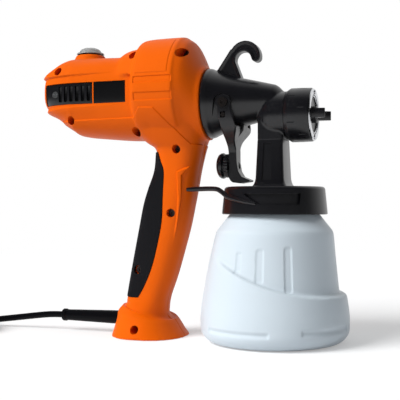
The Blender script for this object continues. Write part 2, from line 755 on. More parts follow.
def drum_panel(x0, x1, low, high, rise, slope):
    def around(c):
        return math.degrees(math.atan2(c.z - motor_z, -c.y))

    def near(c):
        return (c.y < 0 and x0 - near_x < c.x < x1 + near_x
                and low - near_angle < around(c) < high + near_angle)

    def step(v):
        if near(v.co):
            a = around(v.co)
            inside = min(v.co.x - x0, x1 - v.co.x, math.radians(min(a - low, high - a)) * drum_r)
            return v.normal * rise * clamp(inside / slope)

    turn = math.degrees(slope / drum_r)
    for x in (x0, x0 + slope, x1 - slope, x1):
        score(half, (x, 0, 0), X_AXIS, near)
    for a in (math.radians(v) for v in (low, low + turn, high - turn, high)):
        score(half, (0, 0, motor_z), (0, math.sin(a), math.cos(a)), near)
    push_points(half, step)


for panel in drum_panels:
    drum_panel(*panel)
print("drum panels done")

# %% Kinked rib on the handle
rib_low_z = 81.4
rib_outline = [(-84.4, 149.1), (-84.2, 124.8), (-85.7, 106.5), (-90.6, rib_low_z), (-88.0, rib_low_z), (-83.6, 107.6),
               (-80.6, 125.3), (-79.6, 145.4), (-71.5, 154.6), (-84.4, 149.1)]
rib_rise, rib_slope, rib_fade = 1.8, 1.1, 34.0
for offset in (0.0, rib_slope):
    score_line(rib_outline, offset, reach=3.0)


def inside_outline(p, outline):
    crossings = 0
    for (ax, az), (bx, bz) in zip(outline, outline[1:]):
        if (az > p.y) != (bz > p.y) and p.x < ax + (p.y - az) * (bx - ax) / (bz - az):
            crossings += 1
    return crossings % 2 == 1


def rib_push(p):
    if not within(rib_zone, *p) or not inside_outline(p, rib_outline):
        return 0.0
    return rib_rise * ease((p.y - rib_low_z) / rib_fade) * min(abs(line_gap(p, rib_outline)) / rib_slope, 1.0)


push_flank(rib_push)
print("rib done")

# %% Edge round the foot
foot_edge = [(-170, 26.5), (-139, 28.5), (-120, 23.2), (-108.8, 18.6), (-94, 15.4), (-60, 14.8)]
foot_rise, foot_sink, foot_slope, foot_fade, sink_fade = 1.2, 0.9, 0.9, 15.0, 7.0
foot_zone_z, rim_w, rim_fade = 40.0, 0.7, 3.0
for offset in (0.0, -foot_slope):
    score_line(foot_edge, offset, near_y=0.0)


def foot_step(v):
    if v.co.z < foot_zone_z and v not in rim_verts:
        below = -line_gap(Vector((v.co.x, v.co.z)), foot_edge)
        rise = (foot_rise + foot_sink) * clamp(below / foot_slope) - foot_sink
        rise *= 1 - ease(below / foot_fade if below > 0 else -below / sink_fade)
        return Vector((v.normal.x, v.normal.y * ease((-v.co.y - rim_w) / rim_fade), v.normal.z)) * rise


push_points(half, foot_step)
flank = BVHTree.FromBMesh(half)
bmesh.ops.triangle_fill(half, edges=[e for e in half.edges if e.is_boundary], use_beauty=True, normal=Y_AXIS)
half_mesh = to_mesh(half)
print("half closed:", len(half_mesh.polygons), "faces")

# %% [markdown]
# ## The soft grip
# A black soft insert wraps the back of the handle between the two shells. Its edge swings forward in the palm and runs
# out to a point under the motor housing. It follows the leg's own rows, a little proud of the orange skin.

# %% Grip form
# Share of the handle's height, and how far round the insert reaches as a share of the depth
grip_shares = [(0.015, 0.405), (0.1, 0.495), (0.23, 0.553), (0.4, 0.557), (0.567, 0.53), (0.73, 0.44), (0.866, 0.33),
               (0.93, 0.22), (0.99, 0.12)]
handle_curve = smooth_rows(handle_shares, 8)
grip_proud, grip_t, grip_round = 0.55, 3.0, 0.7
bed_proud, bed_t, bed_margin = 3.0, 5.6, 0.25


def handle_at(share):
    upper = next(i for i in range(1, len(handle_curve)) if handle_curve[i][0] >= share)
    a, b = handle_curve[upper - 1], handle_curve[upper]
    return handle_row(*(a + (b - a) * ((share - a[0]) / (b[0] - a[0]))))


def grip_form(out, thickness, margin):
    stations = smooth_rows(grip_shares, 6)
    bm = bmesh.new()
    bmesh.ops.create_grid(bm, x_segments=40, y_segments=len(stations) - 1, size=1.0)
    for v in bm.verts:
        share, reach = stations[round((v.co.y + 1) / 2 * (len(stations) - 1))]
        lift = math.copysign(margin, v.co.y) if abs(v.co.y) > 0.999 else 0.0
        row = list(handle_at(share))
        row[0] = row[1] = row[0] + lift
        c = 2 * reach - 1 + margin / ((row[3] - row[2]) / 2)
        edge = math.acos(max(min(signed_power(c, 1 / leg_power), 1.0), -1.0))
        v.co = leg_point(row, edge + (2 * math.pi - 2 * edge) * (v.co.x + 1) / 2, out)
    bmesh.ops.recalc_face_normals(bm, faces=bm.faces)
    if bm.faces[:][len(bm.faces) // 2].normal.x > 0:
        bmesh.ops.reverse_faces(bm, faces=bm.faces)
    bmesh.ops.solidify(bm, geom=bm.faces[:], thickness=thickness)
    return bm


grip = grip_form(grip_proud, grip_t, 0.0)
bevelled(grip, corner_edges(grip), grip_round, 3)
grip_mesh = to_mesh(grip)
print("grip form ready")

# %% [markdown]
# ## Pockets in the shells
# The vents and the flank plates sit in pockets. The case screws sit at the bottom of deep round recesses on the right
# side only. A switch hole, the mouth for the spray head, the hole for the cord and the bed of the grip are cut too.
# All cutters are closed forms, so most of them can share one mesh and one boolean.

# %% Pockets and holes of both shells
vent_x0, vent_x1, band_z0, band_z1 = -210.0, -158.0, 210.0, 229.4
label_x0, label_x1, label_floor_y = -157.0, -126.0, -36.2
vent_floor_y = {vent_x0: -22.0, vent_x1: -31.5}
ring_r, ring_len, bore_r, bore_len = 28.65, 13.0, 26.3, 18.0
relief_x0, relief_x1, relief_z, relief_r = -190.0, -138.0, 14.4, 6.35
switch_hole_z0, switch_hole_z1 = 240.0, 290.0
pockets = bmesh.new()
for v in bmesh.ops.create_cube(pockets, size=1.0)["verts"]:
    x = vent_x0 if v.co.x < 0 else vent_x1
    v.co = Vector((x, -CLEAR if v.co.y < 0 else vent_floor_y[x], band_z0 if v.co.z < 0 else band_z1))
block((label_x0, -CLEAR, band_z0), (label_x1, label_floor_y, band_z1), bm=pockets)
rod_z(switch_x, switch_hole_z0, switch_hole_z1, switch_r + 0.3, bm=pockets)
rod_x(mouth_x - ring_len, mouth_x + 5, flange_z, ring_r, 96, pockets)
rod_x(mouth_x - ring_len - bore_len, mouth_x - ring_len + 1, flange_z, bore_r, 96, pockets)
rod_x(relief_x0, relief_x1, relief_z, relief_r, bm=pockets)
print("pockets ready")

# %% Screw recesses and both shells
recess_r, drum_recess_r, recess_floor_y = 3.9, 4.5, -12.0
grip_screw = (-122.6, 60.8)
case_screws = [(-194.6, 241), (-121.8, 252.4), (-182.3, 196), (-120, 184.5), (-84, 168.6), (-90.4, 112), grip_screw,
               (-118.9, 8.6)]
drum_screw = (-75.2, 251.6)
recesses = bmesh.new()
for place, r in [(place, recess_r) for place in case_screws] + [(drum_screw, drum_recess_r)]:
    rod_y(*place, -CLEAR, recess_floor_y, r, 40, recesses)
shell_right = cut(half_mesh, pockets, grip_form(bed_proud, bed_t, bed_margin))
shell_left = mirrored(shell_right)
place_piece("shell_right", cut(shell_right, recesses), ["body_shell_right"], sharp=28.0)
place_piece("shell_left", shell_left, ["body_shell_left"], sharp=28.0)
place_piece("hand_grip", cut(grip_mesh, rod_y(*grip_screw, -CLEAR, 0, recess_r)), ["grip_insert"])

# %% [markdown]
# ## Vent covers and flank plates
# Each vent cover is a curved plate with six slots that sits in its pocket. A flat grid is dropped on the flank, given
# a thickness, bevelled and slotted. The plates beside them are made the same way and stay plain.

# %% Plates on the flank
pocket_fit = 0.25


def on_flank(x, z):
    return flank.ray_cast(Vector((x, -CLEAR, z)), Y_AXIS)[0]


def flank_plate(x0, x1, sink, thickness, bevel):
    wide, high = x1 - x0 - 2 * pocket_fit, band_z1 - band_z0 - 2 * pocket_fit
    bm = bmesh.new()
    bmesh.ops.create_grid(bm, x_segments=36, y_segments=14, size=1.0)
    for v in bm.verts:
        v.co = on_flank(x0 + pocket_fit + wide * (v.co.x + 1) / 2, band_z0 + pocket_fit + high * (v.co.y + 1) / 2)
        v.co.y += sink
    thicken(bm, bm.faces[:], (0, thickness, 0))
    bmesh.ops.recalc_face_normals(bm, faces=bm.faces)
    bevelled(bm, corner_edges(bm), bevel)
    return to_mesh(bm)


slot_count, slot_step, slot_half, slot_end, slot_margin, slot_round = 6, 5.85, 1.75, 4.4, 2.6, 0.9
slot_floor = 0.8
vent_screw_x, vent_screw_z, vent_screw_r = -197.6, (band_z0 + band_z1) / 2, 3.3
cover_sink, cover_t, cover_round = 0.9, 3.5, 0.5
slots = bmesh.new()
for k in range(slot_count):
    x = vent_x1 - slot_end - k * slot_step
    floor_y = on_flank(x, vent_screw_z).y + cover_sink + cover_t - slot_floor
    block((x - slot_half, -CLEAR, band_z0 + slot_margin), (x + slot_half, floor_y, band_z1 - slot_margin), slot_round,
          slots)
rod_y(vent_screw_x, vent_screw_z, -CLEAR, 0, vent_screw_r, bm=slots)
cover_right = cut(flank_plate(vent_x0, vent_x1, cover_sink, cover_t, cover_round), slots)
cover_left = mirrored(cover_right)
place_piece("vent_slats_right", cover_right, ["vent_cover_right"])
place_piece("vent_slats_left", cover_left, ["vent_cover_left"])
plate_right = flank_plate(label_x0, label_x1, sink=0.2, thickness=1.2, bevel=0.25)
plates = to_bmesh(plate_right)
plates.from_mesh(mirrored(plate_right))
place_piece("flank_plates", plates, ["label_plates"])

# %% [markdown]
# ## The switch and its boot
# The switch is a round body with a rocker in its top, pushed into the collar. Over it sits a clear soft boot, a dome on
# a broad rim. Both are spun, and the rocker, which stays the solid's own, is still seen inside.

# %% Switch body
rocker_z, switch_base_z, bezel_r, bezel_top = switch_top_z - 4.6, switch_top_z - 15.5, 12.2, collar_z + 0.9
seat_gap = 0.05
body_profile = [(0, switch_base_z), (switch_r - seat_gap, switch_base_z), (switch_r - seat_gap, collar_z + seat_gap),
                (bezel_r, collar_z + seat_gap), (bezel_r, bezel_top - 0.3), (bezel_r - 0.3, bezel_top), (0, bezel_top)]
room_half_x, room_half_y, room_low_z, pin_half, pin_r = 7.8, 4, rocker_z - 6, 6, 1.4
rocker_room = block((switch_x - room_half_x, -room_half_y, room_low_z),
                    (switch_x + room_half_x, room_half_y, bezel_top + 5))
pin_room = rod_y(switch_x, rocker_z, -pin_half, pin_half, pin_r)
switch_form = cut(spun_z(body_profile, switch_x, 64), rocker_room, pin_room)
place_piece("switch_body", switch_form, ["switch_housing"])

# %% Switch boot
# Radius and height above the bezel, outside and then inside
boot_outside = [(12.9, 0.05), (12.9, 0.8), (12.3, 1.4), (10.9, 1.6), (10.4, 2.3), (9.8, 3.5), (8.5, 4.9), (6, 6),
                (3, 6.5), (0, 6.65)]
boot_inside = [(0, 5.95), (3, 5.8), (5.6, 5.3), (7.9, 4.3), (9.1, 3.1), (9.7, 1.9), (9.8, 0.05)]
boot_profile = [(r, bezel_top + rise) for r, rise in boot_outside + boot_inside + boot_outside[:1]]
place_piece("switch_dome", spun_z(boot_profile, switch_x, 64), ["switch_boot"], sharp=50.0)

# %% [markdown]
# ## The paint bottle
# The real bottle is blown from milky plastic, so nothing on it is sharp. A lower skin with a scooped top edge stands
# proud of a slimmer upper skin. Both are spun, the scoop is cut with a wide cylinder, and the two are melted into one
# skin. The shallow level windows and the two foot grooves are then pressed in.

# %% Bottle skins
bottle_wall, neck_r, neck_top_z, base_corner, bottle_r = 2.5, 38.0, 128.7, 14.0, 65.0
scoop_r, scoop_x, scoop_z, scoop_roll, scoop_top_z = 215.0, 70.0, 257.5, 4.5, 95
corner = arc((bottle_r - base_corner, base_corner), base_corner, -90, 0, 9)
upper_wall = [(56.4, 42), (55.4, 50), (53.7, 66.5), (52.4, 80), (51.6, 90), (51.1, 94.6), (50.2, 97), (48.7, 99),
              (44.4, 104.4), (39.6, 110.6)]
lower_top_z = 93
lower_wall = [(65, 22), (64.3, 30), (62.2, 43.5), (60.2, 55), (58.1, 66.5), (55.6, 77), (53, 87.5), (50, lower_top_z)]
upper_skin = spun_z([(0, 5), (56.4, 5)] + upper_wall + [(neck_r, 111), (neck_r, neck_top_z), (0, neck_top_z)])
lower_skin = spun_z([(0, 0)] + corner + lower_wall + [(0, lower_top_z)])
# Height and radius of the upper skin's left side, which swells to meet the lower skin
swell_rows = [(42, 62.4), (55, 60.2), (66.5, 58.1), (77, 55.6), (87.5, 53.2), (94.6, 51.4), (97, 50.2)]
swell_from, swell_fade, swell_core_r, tall_edge = 0.56, 0.3, 45.0, 3.0


def swell_r(z):
    for (z0, r0), (z1, r1) in zip(swell_rows, swell_rows[1:]):
        if z0 <= z <= z1:
            return r0 + (r1 - r0) * (z - z0) / (z1 - z0)
    return 0.0


tall_edges = [e for e in upper_skin.edges if abs(e.verts[0].co.z - e.verts[1].co.z) > tall_edge]
bmesh.ops.subdivide_edges(upper_skin, edges=tall_edges, cuts=5)
for v in upper_skin.verts:
    r = math.hypot(v.co.x, v.co.y)
    if r > swell_core_r and swell_rows[0][0] <= v.co.z <= swell_rows[-1][0]:
        grown = max(swell_r(v.co.z) - r, 0.0) * ease((-v.co.x / r - swell_from) / swell_fade)
        v.co += Vector((v.co.x, v.co.y, 0)) * (grown / r)
lower_mesh = cut(lower_skin, rod_y(scoop_x, scoop_z, -CLEAR, CLEAR, scoop_r, 256))
skins = to_bmesh(to_mesh(upper_skin))
skins.from_mesh(lower_mesh)
bottle_skin = to_bmesh(moulded(skins, voxel=1.0, passes=5))
soften(bottle_skin, [v for v in bottle_skin.verts if v.co.z < scoop_top_z and
                     abs(math.hypot(v.co.x - scoop_x, v.co.z - scoop_z) - scoop_r) < scoop_roll], 12)
print("bottle skin:", len(bottle_skin.faces), "faces")

# %% [markdown]
# Windows and grooves are measured as turns from the side that faces the viewer. They repeat on the far side.

# %% Level windows and foot grooves
# From and to angle, bottom and top, then depth and slope
window, groove = (0.8, 1.6), (1.4, 3.3)
presses = [(-24.2, -16.5, 62.0, 80.4, *window), (-3.8, 4.6, 54.5, 83.3, *window), (21.5, 29.8, 47.0, 85.2, *window),
           (-46.0, 10.5, 10.4, 17.0, *groove), (32.5, 84.0, 12.0, 19.4, *groove)]
press_corner_r, score_reach = 2.6, 3.0


def bottle_turn(p):
    return math.degrees(math.atan2(p.x, abs(p.y)))


for low, high, bottom, top, depth, slope in presses:
    for side in SIDES:
        for edge in (low, high):
            a = math.radians(edge)
            score(bottle_skin, (0, 0, 0), (math.cos(a), -side * math.sin(a), 0),
                  lambda c: c.y * side > 0 and abs(bottle_turn(c) - edge) < score_reach
                  and bottom - score_reach < c.z < top + score_reach)


def pressed(p, low, high, bottom, top, depth, slope):
    r = math.hypot(p.x, p.y)
    half_w, half_h = math.radians(high - low) / 2 * r, (top - bottom) / 2
    out_x = abs(math.radians(bottle_turn(p) - (low + high) / 2) * r) - half_w + press_corner_r
    out_z = abs(p.z - (bottom + top) / 2) - half_h + press_corner_r
    outside = math.hypot(max(out_x, 0), max(out_z, 0)) + min(max(out_x, out_z), 0) - press_corner_r
    return depth * ease(-outside / slope)


push_points(bottle_skin, lambda v: v.normal * -sum(pressed(v.co, *row) for row in presses))

# %% Hollow of the bottle
inner_r, brim_z = neck_r - bottle_wall, 140
hollow = [(0, bottle_wall), (bottle_r - base_corner, bottle_wall), (bottle_r - 7, 8), (bottle_r - 4.6, 22), (58.5, 38)]
hollow += [(r - bottle_wall, z) for r, z in upper_wall[1:]] + [(inner_r, 110), (inner_r, brim_z), (0, brim_z)]
place_piece("paint_bottle", cut(bottle_skin, spun_z(hollow)), ["bottle"], sharp=50.0)

# %% [markdown]
# ## Lid, column and steady arm
# The lid is one moulding with the square column that carries the spray head and a thin arm that steadies the handle.
# The lid is spun, the column is a skin over rounded squares that flares into the lid, and the arm is a swept tube.
# They are joined by booleans, because the lid's edges are crisp.

# %% Lid and column
lid_z, lid_top_z, lid_ceiling_z, lid_r, lid_round, stub_z = 111.0, 135.0, 132.0, 46.0, 3.0, 176.0
lid_profile = [(0, lid_z), (lid_r - 0.6, lid_z), (lid_r, lid_z + 0.6), (lid_r - 0.25, lid_z + 4)]
lid_profile += arc((lid_r - 5, lid_top_z - lid_round), lid_round, 0, 90, 10) + [(0, lid_top_z)]
stub_half_x, stub_half_y, stub_round, riser_r = 11.2, 15.0, 3.0, 3.2
column_base_z, column_top_z, column_wider_x, column_wider_y = 134.5, stub_z - 0.82, 1.7, 2.0
# Height, and how far the column stands out there
column_flare = [(134.2, 4.6), (134.9, 3.4), (135.8, 2.2), (137.2, 1.2), (139.2, 0.5), (142, 0.0)]


def column_half(z):
    share = (column_top_z - z) / (column_top_z - column_base_z)
    return stub_half_x + column_wider_x * share, stub_half_y + column_wider_y * share


column_rings = [rounded_square(z, column_half(z)[0] + out, column_half(z)[1] + out, stub_round + 0.2 + out)
                for z, out in column_flare]
column_rings.append(rounded_square(column_top_z, stub_half_x, stub_half_y, stub_round))
print("column of", len(column_rings), "rings")

# %% Steady arm
arm_r = 2.1
arm_points = [(-73, -24, 132.6), (-62, -24.3, 133), (-51, -25.4, 133.2), (-44, -27.4, 132.6), (-39, -30, 130.2),
              (-32, -34, 126), (-18, -41.2, 122.4), (-5, -44.6, 120)]
arm_route = smooth_rows(arm_points, 6)
arm_radii = [arm_r * min(1.0, 0.75 + 0.25 * i / 3, 0.55 + 0.45 * (len(arm_route) - 1 - i) / 8)
             for i in range(len(arm_route))]
print("arm of", len(arm_route), "rings")

# %% Recesses and hollows of the lid
recess_outline = [(-17, 128.4), (-3, 119.6), (29.6, 119.6), (30.2, 128.8)]
recess_depth, recess_back_y, under_z, over_z = 2.6, 20, 100, 140
recess_core = spun_z([(0, under_z), (lid_r - recess_depth + 0.3, under_z), (lid_r - recess_depth - 2.2, over_z),
                      (0, over_z)], steps=144)
lid_bore_r, boss_z0, boss_z1, boss_r, socket_z, socket_r = neck_r + 1.6, 116, 133.5, 8.5, 129.8, 4.05
recess_cut = bmesh.new()
panel_cut = bmesh.new()
panel_low, panel_high, panel_depth = (140.5, -7.2, 1.2), (172.6, -6.2, 0.6), 0.8
for side in SIDES:
    side_cut(recess_outline, side * CLEAR, side * recess_back_y, recess_cut)
    for v in bmesh.ops.create_cube(panel_cut, size=1.0)["verts"]:
        z, x0, x1 = panel_low if v.co.z < 0 else panel_high
        y = column_half(z)[1] - panel_depth if v.co.y < 0 else 30
        v.co = Vector((x0 if v.co.x < 0 else x1, side * y, z))
lid = cut(spun_z(lid_profile, steps=144), cut(recess_cut, recess_core),
          rod_z(0, under_z, lid_ceiling_z, lid_bore_r, 128))
lid = joined(lid, skin_over(column_rings), tube(arm_route, arm_radii, 24), rod_z(0, boss_z0, boss_z1, boss_r))
pickup_way = rod_z(0, 110, socket_z, socket_r)
lid = cut(lid, panel_cut, rod_z(0, 129, 190, riser_r, bm=pickup_way))
place_piece("lid_and_column", lid, ["cup_lid"], sharp=32.0)

# %% [markdown]
# ## The spray head
# Barrel, nozzle block, stub and hanging hook are one black moulding. The barrel flares smoothly to the flange that
# meets the drum. The round forms are spun, the stub is a skin over rounded squares, and everything is melted together,
# so that the hook grows out of the barrel with a soft corner.

# %% Hanging hook
hook_x, hook_z, hook_r, hook_half, hook_hole_r, hook_tip_r = -26.0, 250.0, 14.0, 5.0, 7.3, 4.0
hook_web, hook_border, eye_over = 1.2, 1.9, 9.0
# Outlines from the hook's middle. The first two points of each follow a margin along its slant
spine = [(-29.4, -17), (-13.1, 7), (0, 0), (3, -28), (-24, -28)]
mouth = [(-9.2, -2.8), (-1, -24), (30, -30), (30, -1), (0, -1)]
spine_slant, mouth_slant = Vector((0.828, -0.562)), Vector((-0.933, -0.361))
eye_x, eye_z, tip_x, tip_z = hook_x - 1.4, hook_z - 2.6, hook_x + hook_r - 4.1, hook_z - 1


def hook_outline(points, slant):
    moved = [Vector(p) + slant for p in points[:2]] + [Vector(p) for p in points[2:]]
    return [(hook_x + p.x, hook_z + p.y) for p in moved]


def hook_form(margin, y0, y1):
    form = joined(rod_y(hook_x, hook_z, y0, y1, hook_r - margin, 96),
                  side_cut(hook_outline(spine, spine_slant * margin), y0, y1))
    form = cut(form, rod_y(eye_x, eye_z, y0 - eye_over, y1 + eye_over, hook_hole_r + margin, 96),
               side_cut(hook_outline(mouth, mouth_slant * margin), y0 - eye_over, y1 + eye_over))
    return joined(form, rod_y(tip_x, tip_z, y0, y1, hook_tip_r - margin))


hook = hook_form(0.0, -hook_half, hook_half)
for y0, y1 in ((-20, hook_web - hook_half), (hook_half - hook_web, 20)):
    hook = cut(hook, hook_form(hook_border, y0, y1))
print("hook has", len(hook.polygons), "faces")

# %% Barrel and nozzle block
barrel_profile = [(0, -71), (23.7, -71), (24, -70.6), (24, -59.6), (30.3, -59.6), (31, -59), (31.2, -57.6), (30.6, -55),
                  (29.3, -52.6), (27.5, -48), (25.3, -41.5), (23.2, -34.5), (21.3, -27.9), (17.9, -13.3), (14.3, 1.4),
                  (12.6, 4), (7.2, 9.4), (0, 9.4)]
block_profile = [(0, -15.4), (6, -14.6), (10.6, -12.6), (14.4, -9.8), (17.2, -6.4), (19.2, -2.2), (20.3, 3), (20.9, 8),
                 (21, 14.6), (0, 14.6)]
block_front_x = 12.0
head = spun_x(barrel_profile, flange_z, 128)
spun_x(block_profile, nozzle_z, 128, head)
skin_over([rounded_square(z, stub_half_x, stub_half_y, stub_round) for z in (stub_z - 3, 184, 193)], head)
head.from_mesh(hook)
trims = block((-20, -22, stub_z - 10), (20, 22, stub_z))
block((block_front_x, -30, nozzle_z - 30), (block_front_x + 10, 30, nozzle_z + 30), bm=trims)
head_skin = cut(moulded(head, voxel=0.65, passes=5), trims)
print("head skin:", len(head_skin.polygons), "faces")

# %% [markdown]
# The hollows follow the solids: the air passage from the drum, the paint channel on the nozzle's axis, flats for the
# trigger's ears, and the slot that the needle's cross pin slides in. The threaded nose is joined on after melting.

# %% Hollows of the head
pivot_x, pivot_z, flat_y, bed_r, pin_slot_half, pin_travel, eye_r = -39.0, 207.5, 24.0, 9, 2.4, 2.3, 2.02
passage = spun_x([(0, -80), (20.5, -80), (20.5, -33), (17.9, -27), (11.6, 2), (0, 2)], flange_z)
fluid_way = spun_x([(0, -4), (13, -4), (16, 6), (16, 30), (0, 30)], nozzle_z)
ear_bed = arc((pivot_x, pivot_z), bed_r, 0, 180, 12)
ear_bed += [(pivot_x - 11, pivot_z - 14), (pivot_x - 11, pivot_z - 30), (pivot_x + 10, pivot_z - 30)]
flats = bmesh.new()
for side in SIDES:
    side_cut(ear_bed, side * flat_y, side * CLEAR, flats)
pin_slot = block((pivot_x - pin_slot_half - pin_travel, -CLEAR, nozzle_z - pin_slot_half),
                 (pivot_x + pin_slot_half, CLEAR, nozzle_z + pin_slot_half))
eyes = rod_y(pivot_x, pivot_z, -CLEAR, CLEAR, eye_r)
nose_x0, nose_x1, nose_r = 10, 22.5, 18.5
nose = spun_x([(0, nose_x0), (nose_r, nose_x0), (nose_r, nose_x1), (0, nose_x1)], nozzle_z)
head_solid = cut(joined(head_skin, nose), passage, fluid_way, flats, pin_slot, eyes)
print("head hollowed:", len(head_solid.polygons), "faces")

# %% Paint channel inside the head
core_x0, core_x1, core_r = -14, 18, 6.5
seat_x, seat_t, seat_half_y, seat_half_z = -61.0, 3.0, 20.2, 4.0
core = joined(rod_x(core_x0, core_x1, nozzle_z, core_r), rod_z(0, stub_z, nozzle_z, core_r))
spring_seat = block((seat_x - seat_t, -seat_half_y, nozzle_z - seat_half_z),
                    (seat_x, seat_half_y, nozzle_z + seat_half_z))
head_solid = joined(head_solid, core, spring_seat)
# Start, end and radius of each step of the needle's way
needle_way = [(-15, -8, 4.0), (-18.5, -14, 4.9), (-4, 19, 3.2), (12, 19, 4.5), (-30, 30, 2.0)]
head_solid = cut(head_solid, *(rod_x(x0, x1, nozzle_z, r) for x0, x1, r in needle_way))
place_piece("spray_barrel", cut(head_solid, rod_z(0, stub_z - 2, nozzle_z, riser_r)), ["head_barrel"], sharp=38.0)

# %% [markdown]
# The needle's return spring is a coil of steel wire between the bar inside the head and the needle's yoke. It is a
# skin over small rings set along a helix. It shortens as the trigger is pulled, with its seat as the fixed end.

# %% Return spring
yoke_x, needle_travel = -44.0, 2.3
wire_r, spring_r, spring_turns, ring_steps = 0.55, 3.4, 5, 16
spring_x0, spring_x1 = seat_x + wire_r + seat_gap, yoke_x - wire_r - seat_gap
spring_pitch = (spring_x1 - spring_x0) / spring_turns
spring_rings = []
for k in range(spring_turns * ring_steps + 1):
    a = 2 * math.pi * k / ring_steps
    out = Vector((0, math.cos(a), math.sin(a)))
    ahead = Vector((spring_pitch / (2 * math.pi), -spring_r * math.sin(a), spring_r * math.cos(a)))
    side = ahead.normalized().cross(out)
    middle = out * spring_r + Vector((spring_x0 + spring_pitch * k / ring_steps, 0, nozzle_z))
    spring_rings.append([middle + (out * math.cos(b) + side * math.sin(b)) * wire_r for b in turns(8)])
spring = place_piece("return_spring", skin_over(spring_rings), ["needle_spring"])
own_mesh(spring)

# %% Gasket under the stub
gasket_fit, gasket_in = 0.02, 0.2
gasket = skin_over([rounded_square(z, stub_half_x - gasket_in, stub_half_y - gasket_in, stub_round - 0.1)
                    for z in (column_top_z + gasket_fit, stub_z - gasket_fit)])
place_piece("stub_gasket", gasket, ["column_gasket"])

# %% [markdown]
# ## Trigger and flow knob
# The trigger's two ears sit outside the barrel. Its arms lean in under the barrel, meet in a throat and join in a
# narrow blade with a lip at each end. Arms and throat are skins over rounded squares and the blade is a side cut, all
# melted into one moulding.

# %% Trigger
ear_in, ear_out, ear_r, knob_z, stud_r, blade_half, pin_hole_half = 24.4, 28.2, 7.0, 154.0, 3.05, 7.0, 2.3
# Height, back, front, outer and inner side of an arm
arm_rows = [(pivot_z, -45.2, -32.6, 28.2, 24.4), (199, -44.0, -30.9, 28.2, 24.4), (192, -42.6, -29.2, 27.6, 23.8),
            (187.5, -41.8, -28.4, 26.2, 22.2), (184, -41.4, -28.5, 23.6, 19.0), (180, -41.1, -30.4, 19.4, 14.0),
            (175.5, -40.8, -32.4, 14.0, 7.5), (171, -40.5, -33.0, 9.4, 3.0), (166, -40.3, -33.2, 7.0, 2.0)]
# Height, back, front and half width of the throat, which fills the fork between the arms
throat_rows = [(189, -31.0, -28.7, 21.6), (187.5, -33.2, -28.3, 22.4), (184, -36.0, -28.5, 20.6),
               (180, -37.5, -30.4, 16.2), (175.5, -37.8, -32.3, 10.6), (171, -38, -33.0, 7.0), (166, -38, -33.2, 5.0)]
throat_rows = [(*row, -row[-1]) for row in throat_rows]
blade_outline = [(-40, 178), (-40, 143.5), (-38.6, 140.6), (-36.4, 139), (-30, 138.2), (-21, 139.6), (-20.9, 141.2),
                 (-28.4, 144.2), (-31.4, 149), (-32.8, 157), (-33.1, 172), (-31.5, 178), (-26.6, 184.6), (-26, 190.2),
                 (-28.2, 190.9), (-31.8, 188), (-36.5, 183)]


def arm_form(bm, rows, side):
    skin_over([rounded_square(z, (front - back) / 2, (outer - inner) / 2, 1.0, (front + back) / 2,
                              side * (outer + inner) / 2)
               for z, back, front, outer, inner in smooth_rows(rows, 3)], bm)


trigger = bmesh.new()
arm_form(trigger, throat_rows, 1)
for side in SIDES:
    rod_y(pivot_x, pivot_z, side * ear_in, side * ear_out, ear_r, 64, trigger)
    arm_form(trigger, arm_rows, side)
side_cut(blade_outline, -blade_half, blade_half, trigger)
pin_hole = block((pivot_x - pin_hole_half, -CLEAR, nozzle_z - 2.7), (pivot_x + pin_hole_half, CLEAR, nozzle_z + 2.5))
trigger_mesh = cut(moulded(trigger, voxel=0.5, passes=3), rod_y(pivot_x, pivot_z, -CLEAR, CLEAR, stud_r), pin_hole,
                   rod_x(-60, -10, knob_z, stud_r))
place_piece("pull_trigger", trigger_mesh, ["trigger"], sharp=40.0)

# %% Flow knob
knob_profile = [(0, -51.4), (6.5, -51.4), (8.4, -51), (10.2, -49.9), (11.3, -48.2), (11.5, -46.6), (11.1, -45.7),
                (9.2, -45.3), (9.2, -44.7), (10.3, -44.3), (10.5, -43.6), (10.5, -41.3), (10.0, -40.6), (3, -40.6),
                (3, -33.4), (2.6, -33), (0, -33)]
knob_steps, notch_period, notch_depth, toothed_r, toothed_x = 96, 4, 0.55, 10.2, -44.5
knob = spun_x(knob_profile, knob_z, knob_steps)
for v in knob.verts:
    out = Vector((0, v.co.y, v.co.z - knob_z))
    if out.length > toothed_r and v.co.x > toothed_x:
        place = round(math.atan2(out.y, out.z) / (2 * math.pi / knob_steps)) % notch_period
        v.co -= out.normalized() * (notch_depth if place < notch_period / 2 else 0.0)
place_piece("flow_dial", knob, ["flow_knob"], sharp=30.0)

# %% [markdown]
# ## Nozzle nut and air cap
# The nut is a plain black ring with a few short finger grooves. In front of it sits the air cap: a bright face ring
# with two screws, a thin bright lip round a dark dish, and two black horns that shape the fan.

# %% Nozzle nut
def closed(profile):
    return profile + profile[:1]


nut_x0, nut_x1, nut_r, thread_r, cap_r, cap_seat_r, cap_seat_x = 12.12, 34.1, 23.4, 18.6, 17.3, 20.2, 32.3
nut_profile = [(thread_r, nut_x0), (20.6, nut_x0), (21.2, nut_x0 + 0.3), (23.0, nut_x0 + 3.2), (nut_r, nut_x0 + 4),
               (nut_r, nut_x0 + 12), (nut_r - 0.3, nut_x1 - 0.9), (nut_r - 0.8, nut_x1), (cap_r + 0.4, nut_x1),
               (cap_r + 0.4, cap_seat_x), (cap_seat_r, cap_seat_x), (cap_seat_r, 22.8), (thread_r, 22.8)]
groove_count, groove_turn, groove_r, groove_out = 12, 0.33, 0.55, 0.15
rear_groove, front_groove = (13.5, 22), (24.5, 30.5)
finger_cuts = bmesh.new()
for k in range(groove_count):
    a = 2 * math.pi * (k + groove_turn) / groove_count
    reach = Z_AXIS * nozzle_z + Vector((0, -math.cos(a), math.sin(a))) * (nut_r + groove_out)
    x0, x1 = rear_groove if k % 2 else front_groove
    rod(reach + X_AXIS * x0, reach + X_AXIS * x1, groove_r, 16, finger_cuts)
nut = cut(spun_x(closed(nut_profile), nozzle_z, 144), finger_cuts)
